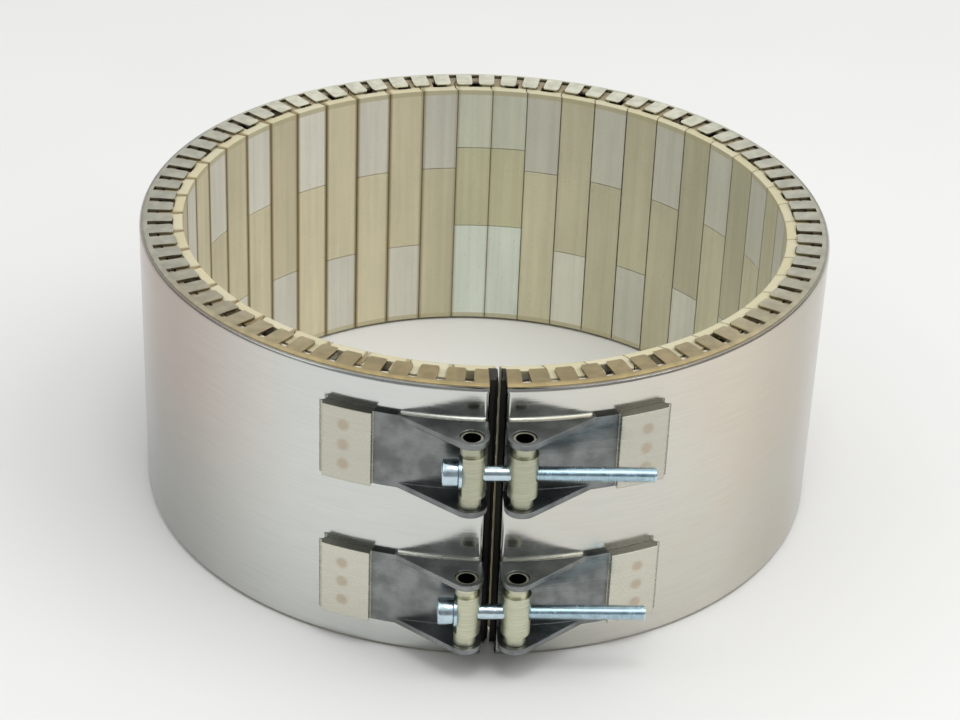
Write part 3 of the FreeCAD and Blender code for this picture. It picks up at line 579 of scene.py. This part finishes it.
class Finish(Nodes):
    """A material being made. Its patterns read Object coordinates."""

    def __init__(self, name):
        self.material = bpy.data.materials.new(name)
        self.material.use_nodes = True
        super().__init__(self.material.node_tree)
        coordinates = self.add("ShaderNodeTexCoord").outputs
        self.place, self.facing = coordinates["Object"], coordinates["Normal"]
        parts = self.add("ShaderNodeSeparateXYZ", {"Vector": self.place}).outputs
        self.x, self.y, self.z = parts["X"], parts["Y"], parts["Z"]

    def noise(self, scale, detail=2.0, stretch=(1, 1, 1), roughness=0.5):
        """Cloudy noise from nought to one, with so many blobs to the metre, squeezed along each axis."""
        vector = self.add("ShaderNodeMapping", {"Vector": self.place, "Scale": stretch}).outputs[0]
        inputs = {"Vector": vector, "Scale": scale, "Detail": detail, "Roughness": roughness}
        return self.add("ShaderNodeTexNoise", inputs).outputs["Fac"]

    def from_gap(self, sideways):
        """Angle round the band from the middle of its gap."""
        return self.maths("ARCTAN2", sideways, self.maths("MULTIPLY", self.y, -1.0))

    def distance(self, first, second):
        """A distance, from its two parts at right angles."""
        squares = self.maths("ADD", self.maths("POWER", first, 2.0), self.maths("POWER", second, 2.0))
        return self.maths("SQRT", squares)

    def radius(self):
        """Distance from the band's axis."""
        return self.distance(self.x, self.y)

    def column(self, sizes):
        """Number of the tile column here, and the distance in metres to its nearest joint."""
        angle = self.from_gap(self.x)
        turn = self.maths("MODULO", self.maths("ADD", angle, 2 * math.pi), 2 * math.pi)
        gap = sizes.column_gap / sizes.bore
        pitch = (2 * math.pi - gap) / sizes.columns
        steps = self.maths("DIVIDE", self.maths("SUBTRACT", turn, gap / 2), pitch)
        number = self.maths("FLOOR", steps)
        part = self.maths("SUBTRACT", steps, number)
        side = self.maths("MINIMUM", part, self.maths("SUBTRACT", 1.0, part))
        return number, self.maths("MULTIPLY", side, pitch * sizes.bore)

    def shaded_in_gap(self, base):
        """A colour darkened inside the shell's gap: painted shade."""
        middle = self.short_of(self.maths("ABSOLUTE", self.x), 2.7 * MM, 0.2 * MM)
        inside = self.maths("MULTIPLY", middle, self.short_of(self.y, -103.8 * MM, 0.4 * MM))
        return self.shade(base, self.between(inside, 0.0, 1.0, 1.0, 0.04))

    def shaded_in_slots(self, base, sizes, slot_shade):
        """Painted shade: a colour darkened where it shows between the tabs, except near the gap."""
        end = self.past(self.maths("ABSOLUTE", self.z), sizes.tile_end, 0.2 * MM)
        under_slots = self.past(self.radius(), 106.15 * MM, 0.65 * MM)
        away = self.between(self.y, -0.105, -0.06, 0.1, 0.8)
        amount = self.maths("MULTIPLY", self.maths("MULTIPLY", end, under_slots), away)
        return self.blend(amount, base, slot_shade)

    def spread(self, number, seed):
        """A random number from nought to one for each whole number."""
        shifted = self.maths("ADD", number, seed)
        return self.add("ShaderNodeTexWhiteNoise", {"W": shifted}, noise_dimensions="1D").outputs["Value"]

    def bump(self, height, depth, edge=None):
        """A normal roughened by a height pattern of so many metres, on edges rounded by a small radius."""
        inputs = {"Height": height, "Distance": depth, "Strength": 1.0}
        if edge:
            inputs["Normal"] = self.add("ShaderNodeBevel", {"Radius": edge}, samples=4).outputs[0]
        return self.add("ShaderNodeBump", inputs).outputs[0]

    def surface(self, base, roughness, normal=None, **fixed):
        """Ends the material with its shader. Values that don't vary are set on the shader itself."""
        inputs = {"Base Color": base, "Roughness": roughness, **fixed}
        if normal:
            inputs["Normal"] = normal
        inputs = {key.replace("_", " "): value for key, value in inputs.items()}
        shader = self.add("ShaderNodeBsdfPrincipled", inputs)
        self.add("ShaderNodeOutputMaterial", {"Surface": shader.outputs[0]})
        return self.material


def dress(material, *names):
    """Gives pieces or CAD nodes a material."""
    for name in names:
        mesh = bpy.data.objects[name].data
        mesh.materials.clear()
        mesh.materials.append(material)


def rolled_steel(colours):
    """Bright rolled steel: fine lines round the band, soft waves, painted reflection tints, tabs coloured by
    painted reflections, and painted shade at its far left, far right and in the gap.
    """
    made = Finish("rolled_steel")
    lines = made.noise(60, 3, (1, 1, 26), 0.6)
    haze = made.noise(16, 3)
    # Painted reflection tints: warm on the right of the band, rosy on its upper left.
    right = made.between(made.x, -0.04, 0.09)
    warm = made.maths("MULTIPLY", right, made.between(haze, 0.3, 0.7, 0.5, 1.0))
    base = made.blend(warm, colours.steel, colours.steel_warm)
    left = made.between(made.x, -0.11, -0.05, 1.0, 0.0)
    rosy = made.maths("MULTIPLY", left, made.between(made.z, -0.03, 0.03, 0.2, 1.0))
    base = made.blend(rosy, base, colours.steel_rosy)
    base = made.shade(base, made.between(lines, 0.2, 0.8, 0.93, 1.02))
    # Painted reflections on the tabs: brown beside the gap, pale away from it.
    ends = made.past(made.maths("ABSOLUTE", made.z), SHELL_HIGH.z - 0.7 * MM, 0.3 * MM)
    front = made.between(made.y, -0.112, -0.02, 1.0, 0.0)
    tint = made.blend(front, colours.tab_side_reflection, colours.tab_front_reflection)
    tint = made.shade(tint, made.between(made.noise(240, 2), 0.3, 0.7, 0.84, 1.06))
    base = made.blend(ends, base, tint)
    # Painted shade: the steel is darkened towards the band's far left and far right.
    base = made.shade(base, made.between(made.x, -0.115, -0.06, 0.62, 1.0))
    base = made.shade(base, made.between(made.x, 0.07, 0.115, 1.0, 0.71))
    # Painted shade inside the shell's gap.
    base = made.shaded_in_gap(base)
    rough = made.between(lines, 0.2, 0.8, 0.13, 0.24)
    rough = made.maths("ADD", rough, made.maths("MULTIPLY", ends, 0.14))
    waves = made.maths("ADD", made.noise(22, 1, (1, 1, 0.5)), made.maths("MULTIPLY", lines, 0.012))
    wave_depth = 1.6 * MM
    dished = made.maths("MULTIPLY", made.maths("MULTIPLY", made.radius(), ends), TAB_SLOPE / wave_depth)
    waves = made.maths("ADD", waves, dished)
    return made.surface(base, rough, made.bump(waves, wave_depth), Metallic=1.0)


def clamp_steel(sizes, colours):
    """Plain steel of the brackets: brushed along the clamp, painted highlights on the bends, painted light on
    the tails, painted shade on the strip, its upturned edges and the upper clamp, three weld marks on a tail.
    """
    made = Finish("clamp_steel")
    grain = made.noise(90, 4, (0.4, 0.4, 9), 0.65)
    stains = made.noise(150, 3)
    along = made.maths("MULTIPLY", made.from_gap(made.maths("ABSOLUTE", made.x)), SHELL_HIGH.x)
    # Painted light and shade: the tails get the bright colour, the strip the dark one.
    tail = made.past(along, sizes.tail, 0.2 * MM)
    base = made.blend(tail, colours.clamp, colours.tail)
    plain = made.maths("SUBTRACT", 1.0, tail)
    mottle = made.maths("MULTIPLY", made.between(stains, 0.3, 0.7, 0.42, 0.0), plain)
    base = made.shade(base, made.maths("SUBTRACT", 1.06, mottle))
    facing = made.add("ShaderNodeSeparateXYZ", {"Vector": made.facing}).outputs
    faces_up = made.maths("ABSOLUTE", facing["Z"])
    beyond_ear = made.past(along, sizes.ear_end, 0.5 * MM)
    # Painted shade: faces turned up or down, past the ears, are darkened.
    painted_dark_edge = made.maths("MULTIPLY", made.between(faces_up, 0.6, 0.8), beyond_ear)
    base = made.shade(base, made.between(painted_dark_edge, 0.0, 1.0, 1.0, 0.22))
    # Painted highlight on the bends of the ears.
    bend = made.between(faces_up, 0.90, 0.97, 1.0, 0.0)
    bend = made.maths("MULTIPLY", made.between(faces_up, 0.25, 0.5), bend)
    base = made.blend(bend, base, colours.bend)
    # Painted shade: the upper clamp is darker than the lower one.
    base = made.shade(base, made.between(made.z, -0.02, 0.02, 0.98, 0.84))
    off = made.maths("ABSOLUTE", made.maths("SUBTRACT", made.maths("ABSOLUTE", made.z), CLAMP_HEIGHT))
    row = made.maths("PINGPONG", off, sizes.weld_pitch / 2)
    away = made.distance(made.maths("SUBTRACT", along, sizes.weld_column), row)
    three = made.short_of(off, 9.65 * MM, 0.25 * MM)
    mark = made.maths("MULTIPLY", made.short_of(away, 1.8 * MM, 0.8 * MM), three)
    base = made.blend(made.maths("MULTIPLY", mark, 0.45), base, colours.weld)
    height = made.maths("SUBTRACT", made.maths("MULTIPLY", grain, 0.06), mark)
    rough = made.between(grain, 0.25, 0.75, 0.22, 0.38)
    return made.surface(base, rough, made.bump(height, 0.18 * MM, 0.5 * MM), Metallic=1.0)


def plating(name, base, low, high, grain=(1, 1, 1)):
    """Plated metal, lightly mottled, its roughness between two values and its edges rounded."""
    made = Finish(name)
    mottle = made.noise(420, 3, grain, 0.6)
    tone = made.shade(base, made.between(mottle, 0.25, 0.75, 0.82, 1.04))
    rough = made.between(mottle, 0.2, 0.8, low, high)
    return made.surface(tone, rough, made.bump(mottle, 0.04 * MM, 0.25 * MM), Metallic=1.0)


def barrel_plating(sizes, colours):
    """Pale yellow plating, finely turned, with painted shade for dark bores in the trunnions' ends and on the
    upper barrels.
    """
    made = Finish("pale_yellow_plating")
    rings = made.noise(300, 3, (0.3, 0.3, 9), 0.6)
    base = made.shade(colours.barrel, made.between(rings, 0.25, 0.75, 0.80, 1.05))
    # Painted shade: the upper barrels are darker than the lower ones.
    base = made.shade(base, made.between(made.z, -0.02, 0.02, 1.08, 0.84))
    # Painted shade: a near-black disc on each trunnion's end stands for a shaded bore.
    beside = made.maths("SUBTRACT", made.maths("ABSOLUTE", made.x), BARREL_X)
    away = made.distance(beside, made.maths("SUBTRACT", made.y, SCREW_DEPTH))
    off = made.maths("ABSOLUTE", made.maths("SUBTRACT", made.maths("ABSOLUTE", made.z), CLAMP_HEIGHT))
    bore = made.short_of(away, sizes.end_bore, 0.04 * MM)
    bore = made.maths("MULTIPLY", bore, made.past(off, sizes.bore_floor, 0.1 * MM))
    base = made.shade(base, made.between(bore, 0.0, 1.0, 1.0, 0.05))
    rough = made.between(rings, 0.2, 0.8, 0.28, 0.45)
    return made.surface(base, rough, made.bump(rings, 0.05 * MM, 0.3 * MM), Metallic=1.0)


def fired_ceramic(name, sizes, colours, near, far, seed):
    """Fired ceramic: each column's own tone, specks, stains, dull ends, joints of dust and painted shade on
    the left, and painted shade towards both sides, in the slots and in the gap.
    """
    made = Finish(name)
    number, away = made.column(sizes)
    tone = made.spread(number, seed)
    # Painted shade: the colour passes to its darker copy towards the right.
    base = made.blend(made.between(made.x, -0.07, 0.06), near, far)
    base = made.shade(base, made.between(tone, 0.0, 1.0, 0.90, 1.07))
    clouds = made.noise(55, 4, (1, 1, 0.45), 0.6)
    base = made.shade(base, made.between(clouds, 0.25, 0.75, 0.93, 1.05))
    specks = made.between(made.noise(1500, 2, roughness=0.7), 0.62, 0.74)
    base = made.blend(made.maths("MULTIPLY", specks, 0.30), base, colours.joint)
    streaks = made.noise(330, 3, (1, 1, 0.03), 0.6)
    base = made.shade(base, made.between(streaks, 0.3, 0.7, 0.94, 1.04))
    # Painted shade: the tiles are darkened towards the far left and the far right.
    base = made.shade(base, made.between(made.x, -0.11, -0.055, 0.84, 1.0))
    base = made.shade(base, made.between(made.x, 0.05, 0.105, 1.0, 0.88))
    ends = made.past(made.maths("ABSOLUTE", made.z), sizes.tile_end, 0.2 * MM)
    base = made.blend(made.maths("MULTIPLY", ends, 0.8), base, colours.tile_end)
    # Dust in the joints together with painted shade: strong on the left, fading out towards the right.
    dirt_and_shade_by_side = made.between(made.x, -0.05, 0.03, 0.9, 0.05)
    dirt_and_shade = made.maths("MULTIPLY", made.short_of(away, 0.85 * MM, 0.55 * MM), dirt_and_shade_by_side)
    base = made.blend(dirt_and_shade, base, colours.joint)
    # Painted shade in the slots between the tabs and inside the shell's gap.
    base = made.shaded_in_gap(made.shaded_in_slots(base, sizes, colours.slot_shade))
    grain = made.noise(900, 4, roughness=0.65)
    pits = made.maths("MULTIPLY", specks, 0.6)
    height = made.maths("SUBTRACT", made.maths("MULTIPLY", grain, 0.3), pits)
    rough = made.between(clouds, 0.2, 0.8, 0.62, 0.85)
    return made.surface(base, rough, made.bump(height, 0.09 * MM, 0.5 * MM))


def glazed_porcelain(colours):
    """White porcelain with a thin clear glaze, faintly uneven."""
    made = Finish("glazed_porcelain")
    clouds = made.noise(140, 3)
    base = made.shade(colours.porcelain, made.between(clouds, 0.25, 0.75, 0.94, 1.02))
    normal = made.bump(clouds, 0.1 * MM, 0.4 * MM)
    return made.surface(base, 0.32, normal, Coat_Weight=0.6, Coat_Roughness=0.12)


def split_mica(colours):
    """Mica plate: thin flakes lying flat, with a silky sheen."""
    made = Finish("split_mica")
    cells = made.add("ShaderNodeTexVoronoi", {"Vector": made.place, "Scale": 700.0}).outputs["Color"]
    flakes = made.add("ShaderNodeSeparateColor", {0: cells}).outputs[0]
    base = made.shade(colours.mica, made.between(flakes, 0.0, 1.0, 0.75, 1.15))
    return made.surface(base, made.between(flakes, 0.0, 1.0, 0.25, 0.5), made.bump(flakes, 0.03 * MM))


def fibre_blanket(sizes, colours):
    """Matted ceramic fibre: short tangled strands, white with cream patches."""
    made = Finish("fibre_blanket")
    strands = made.noise(800, 5, (1, 1, 0.25), 0.75)
    patches = made.noise(70, 3)
    base = made.shade(colours.fibre, made.between(strands, 0.3, 0.7, 0.8, 1.04))
    base = made.shade(base, made.between(patches, 0.3, 0.7, 0.94, 1.0))
    # Painted shade in the slots between the tabs and inside the shell's gap.
    base = made.shaded_in_gap(made.shaded_in_slots(base, sizes, colours.slot_shade))
    return made.surface(base, 0.95, made.bump(strands, 0.6 * MM))


def wound_wire(colours):
    """A close-wound heating coil: the turns show as ridges along its straight runs, with painted shade
    between them.
    """
    made = Finish("wound_wire")
    inputs = {"Vector": made.place, "Scale": 300.0, "Distortion": 0.4}
    turns = made.add("ShaderNodeTexWave", inputs, bands_direction="Z", wave_profile="SIN").outputs["Fac"]
    # Painted shade between the wire's turns and inside the shell's gap.
    base = made.shaded_in_gap(made.shade(colours.wire, made.between(turns, 0.1, 0.8, 0.35, 1.2)))
    rough = made.between(turns, 0.0, 1.0, 0.6, 0.38)
    return made.surface(base, rough, made.bump(turns, 0.4 * MM), Metallic=0.85)


def matt_floor(colours):
    """Smooth matt paint with a trace of texture."""
    made = Finish("matt_floor")
    base = made.shade(colours.floor, made.between(made.noise(9, 2), 0.2, 0.8, 0.985, 1.0))
    return made.surface(base, 0.9)


# Operators


class BAND_OT_studio(bpy.types.Operator):
    """Camera, soft lights, pale surroundings and floor"""

    bl_idname = "band_heater.studio"
    bl_label = "Studio"
    bl_options = {"REGISTER", "UNDO"}

    def execute(self, context):
        scene, studio = context.scene, context.scene.band_studio
        level, turn = studio.rise, studio.turn - math.pi / 2
        away = Vector((math.cos(turn) * math.cos(level), math.sin(turn) * math.cos(level), math.sin(level)))
        lens = bpy.data.cameras.new("camera")
        lens.lens, lens.sensor_width = studio.lens, 36.0
        lens.shift_x, lens.shift_y = studio.shift_x, studio.shift_y
        lens.clip_start, lens.clip_end = 0.05, 30.0
        camera = bpy.data.objects.new("camera", lens)
        camera.rotation_mode = "QUATERNION"
        camera.location = away * studio.distance
        camera.rotation_quaternion = (-away).to_track_quat("-Z", "Y") @ Quaternion((0, 0, 1), studio.roll)
        scene.collection.objects.link(camera)
        scene.camera = camera
        self.light("key_light", (0.99, -0.46, 1.30), 1.2, studio.key)
        self.light("fill_light", (-1.15, -0.45, 0.95), 1.0, studio.fill)
        self.light("glint_light", (0.05, -0.45, 1.25), 0.35, studio.glint)
        self.room(studio)
        self.floor(scene.band_colours)
        scene.view_settings.view_transform = "Standard"
        return {"FINISHED"}

    def light(self, name, place, size, power):
        """A square soft light that faces the band."""
        lamp = bpy.data.lights.new(name, "AREA")
        lamp.shape, lamp.size, lamp.energy = "SQUARE", size, power
        thing = bpy.data.objects.new(name, lamp)
        thing.location = place
        thing.rotation_euler = (-Vector(place)).to_track_quat("-Z", "Y").to_euler()
        bpy.context.scene.collection.objects.link(thing)

    def room(self, studio):
        """A dim room with a broad soft light overhead and behind.

        Its strength grows with height, and sooner at the back.
        """
        world = bpy.data.worlds.new("studio_room")
        world.use_nodes = True
        made = Nodes(world.node_tree)
        looked_at = made.add("ShaderNodeTexCoord").outputs["Generated"]
        parts = made.add("ShaderNodeSeparateXYZ", {"Vector": looked_at}).outputs
        height = made.maths("ADD", parts["Z"], made.maths("MULTIPLY", parts["Y"], 0.3))
        strength = made.between(height, 0.24, 0.80, studio.room, studio.overhead)
        background = made.add("ShaderNodeBackground", {"Color": (1, 1, 1, 1), "Strength": strength})
        made.add("ShaderNodeOutputWorld", {"Surface": background.outputs[0]})
        bpy.context.scene.world = world

    def floor(self, colours):
        """A round floor: rings of points at growing radii, all at the band's lowest height."""
        radii = np.linspace(0, 4, 9)
        angle = np.linspace(0, 2 * np.pi, 65)
        height = np.full((9, 65), CAD_BOX[0][2])
        grid = np.stack([radii[:, None] * np.cos(angle), radii[:, None] * np.sin(angle), height], axis=-1)
        numbers = np.arange(9 * 65).reshape(9, 65)
        faces = np.stack([numbers[:-1, :-1], numbers[1:, :-1], numbers[1:, 1:], numbers[:-1, 1:]], axis=-1)
        mesh = bpy.data.meshes.new("floor")
        mesh.from_pydata(grid.reshape(-1, 3).tolist(), [], faces.reshape(-1, 4).tolist())
        mesh.materials.append(matt_floor(colours))
        floor = bpy.data.objects.new("floor", mesh)
        bpy.context.scene.collection.objects.link(floor)


class BAND_OT_shell(bpy.types.Operator):
    """Folded shell with its tabs and lips"""

    bl_idname = "band_heater.shell"
    bl_label = "Shell"
    bl_options = {"REGISTER", "UNDO"}

    def execute(self, context):
        sizes, colours = context.scene.band_sizes, context.scene.band_colours
        points, faces = shell_sheet(sizes)
        add_piece("folded_shell", points, faces, "shell", "band", ["shell"])
        dress(rolled_steel(colours), "folded_shell")
        return {"FINISHED"}


class BAND_OT_screws(bpy.types.Operator):
    """Threaded clamp screws and their washers"""

    bl_idname = "band_heater.screws"
    bl_label = "Screws and Washers"
    bl_options = {"REGISTER", "UNDO"}

    def execute(self, context):
        sizes, colours = context.scene.band_sizes, context.scene.band_colours
        zinc = plating("bright_zinc", colours.zinc, 0.14, 0.30)
        for node in ("upper_screw", "lower_screw"):
            low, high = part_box(node)
            middle = (low + high) / 2
            points, faces = several(*screw_solids(sizes, high.x))
            points = points + np.array([0, middle.y, middle.z])
            name = node.replace("screw", "clamp_screw")
            add_piece(name, points, faces, "screw", node, [node])
            dress(zinc, name)
        dress(zinc, "upper_washer", "lower_washer")
        return {"FINISHED"}


class BAND_OT_clamps(bpy.types.Operator):
    """Brackets and barrels of the clamps"""

    bl_idname = "band_heater.clamps"
    bl_label = "Clamps"
    bl_options = {"REGISTER", "UNDO"}

    def execute(self, context):
        sizes, colours = context.scene.band_sizes, context.scene.band_colours
        dress(clamp_steel(sizes, colours), "clamp_brackets")
        dress(barrel_plating(sizes, colours), "nut_barrels", "plain_barrels")
        return {"FINISHED"}


class BAND_OT_tiles(bpy.types.Operator):
    """Ceramic tiles of the bore"""

    bl_idname = "band_heater.tiles"
    bl_label = "Tiles"
    bl_options = {"REGISTER", "UNDO"}

    def execute(self, context):
        sizes, colours = context.scene.band_sizes, context.scene.band_colours
        for kind, near, far, seed in (
            ("long", colours.long_tile, colours.long_tile_shaded, 3.0),
            ("short", colours.short_tile, colours.short_tile_shaded, 41.0),
        ):
            finish = fired_ceramic(f"ceramic_{kind}", sizes, colours, near, far, seed)
            for level in ("high", "low"):
                dress(finish, f"{kind}_tiles_{level}_right", f"{kind}_tiles_{level}_left")
        for level, seed in (("high", 5.0), ("middle", 17.0), ("low", 29.0)):
            tone = getattr(colours, f"back_{level}")
            finish = fired_ceramic(f"ceramic_back_{level}", sizes, colours, tone, tone, seed)
            dress(finish, f"back_tiles_{level}")
        return {"FINISHED"}


class BAND_OT_terminals(bpy.types.Operator):
    """Terminal studs with their bushes, mica and nuts"""

    bl_idname = "band_heater.terminals"
    bl_label = "Terminals"
    bl_options = {"REGISTER", "UNDO"}

    def execute(self, context):
        sizes, colours = context.scene.band_sizes, context.scene.band_colours
        points, faces = several(*stud_solids(sizes))
        turned_up = np.stack([-points[:, 1], points[:, 0], points[:, 2]], axis=-1)
        half = np.array([0, 0, sizes.stud_pitch / 2])
        points, faces = several((turned_up - half, faces), (turned_up + half, faces))
        add_piece("threaded_studs", points, faces, "terminal_metal", "band", ["terminal_studs"])
        nickel = plating("nickel_plate", colours.stud, 0.18, 0.34)
        dress(nickel, "threaded_studs", "inner_nuts", "lead_strap_right", "lead_strap_left")
        dress(glazed_porcelain(colours), "terminal_insulators")
        dress(split_mica(colours), "inner_insulators")
        return {"FINISHED"}


class BAND_OT_inside(bpy.types.Operator):
    """Fibre blanket and heating coil behind the tiles"""

    bl_idname = "band_heater.inside"
    bl_label = "Blanket and Coil"
    bl_options = {"REGISTER", "UNDO"}

    def execute(self, context):
        sizes, colours = context.scene.band_sizes, context.scene.band_colours
        points, faces = several(fibre_edge(1), fibre_edge(-1))
        add_piece("fibre_edges", points, faces, "blanket", "band")
        add_piece("gap_packing", *gap_packing(), "blanket", "band")
        fibre = fibre_blanket(sizes, colours)
        dress(fibre, "fibre_edges", "gap_packing", "blanket_right", "blanket_left")
        dress(wound_wire(colours), "coil")
        return {"FINISHED"}


OPERATORS = (
    BAND_OT_studio,
    BAND_OT_shell,
    BAND_OT_screws,
    BAND_OT_clamps,
    BAND_OT_tiles,
    BAND_OT_terminals,
    BAND_OT_inside,
)


class BAND_PT_looks(bpy.types.Panel):
    """Makes the band heater's pieces and lists their settings"""

    bl_idname = "BAND_PT_looks"
    bl_label = "Band Heater"
    bl_space_type = "VIEW_3D"
    bl_region_type = "UI"
    bl_category = "Band Heater"

    def draw(self, context):
        layout = self.layout
        for operator in OPERATORS:
            layout.operator(operator.bl_idname)
        for settings in (context.scene.band_sizes, context.scene.band_colours, context.scene.band_studio):
            column = layout.box().column(align=True)
            for name in settings.__annotations__:
                column.prop(settings, name)


CLASSES = (BandSizes, BandColours, StudioSettings, *OPERATORS, BAND_PT_looks)


def register():
    """Adds the settings, operators and panel."""
    for cls in CLASSES:
        bpy.utils.register_class(cls)
    bpy.types.Scene.band_sizes = PointerProperty(type=BandSizes)
    bpy.types.Scene.band_colours = PointerProperty(type=BandColours)
    bpy.types.Scene.band_studio = PointerProperty(type=StudioSettings)


def unregister():
    """Takes them away again."""
    del bpy.types.Scene.band_studio, bpy.types.Scene.band_colours, bpy.types.Scene.band_sizes
    for cls in reversed(CLASSES):
        bpy.utils.unregister_class(cls)


def main():
    """Makes every piece in order."""
    register()
    for make in (
        bpy.ops.band_heater.studio,
        bpy.ops.band_heater.shell,
        bpy.ops.band_heater.screws,
        bpy.ops.band_heater.clamps,
        bpy.ops.band_heater.tiles,
        bpy.ops.band_heater.terminals,
        bpy.ops.band_heater.inside,
    ):
        make()


if __name__ == "__main__":
    main()
